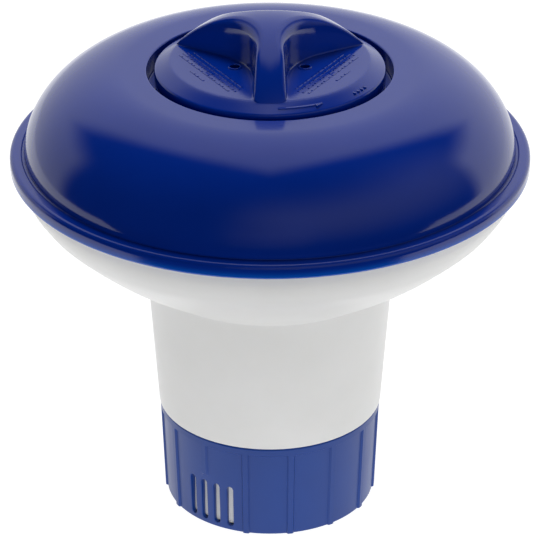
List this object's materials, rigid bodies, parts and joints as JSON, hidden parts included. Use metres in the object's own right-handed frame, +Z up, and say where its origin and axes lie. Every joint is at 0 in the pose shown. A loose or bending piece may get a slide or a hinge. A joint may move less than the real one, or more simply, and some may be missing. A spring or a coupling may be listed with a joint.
{
  "type": "floating chlorine dispenser",
  "caption": "Mushroom-shaped floating pool chemical dispenser: domed ring float, central tablet tube, bayonet cap with a three-armed grip, and a turning slotted flow collar.",
  "frame": {"origin": "centre of the collar's base, on the surface that the part stands on", "axes": "+Z up the tube's axis, -Y towards the front, where one arm of the grip points; a group of slots is just left of it"},
  "size_m": [0.13, 0.13, 0.1329],
  "materials": {
    "blue_gloss": "moulded gloss",
    "white_plastic": "moulded semi-gloss",
    "blue_satin": "moulded satin",
    "seal_rubber": "matt"
  },
  "bodies": {
    "float": {"float_top": "blue_gloss", "float_bowl": "white_plastic", "tablet_tube": "white_plastic", "tablet_grate": "white_plastic", "rim_seal": "seal_rubber", "neck_seal": "seal_rubber", "tube_seal": "seal_rubber"},
    "collar": {"flow_collar": "blue_satin"},
    "cap_gasket": {"cap_seal": "seal_rubber"},
    "cap": {"cap": "blue_gloss"}
  },
  "joints": [
    {"name": "collar_turn", "type": "hinge", "parent": "float", "child": "collar", "pos_m": [0, 0, 0.013], "axis": [0, 0, 1], "range_deg": [0, 36]},
    {"name": "cap_lift", "type": "slide", "parent": "float", "child": "cap_gasket", "axis": [0, 0, 1], "range_m": [0, 0.05]},
    {"name": "cap_turn", "type": "hinge", "parent": "cap_gasket", "child": "cap", "pos_m": [0, 0, 0.12], "axis": [0, 0, 1], "range_deg": [-30, 0]}
  ]
}
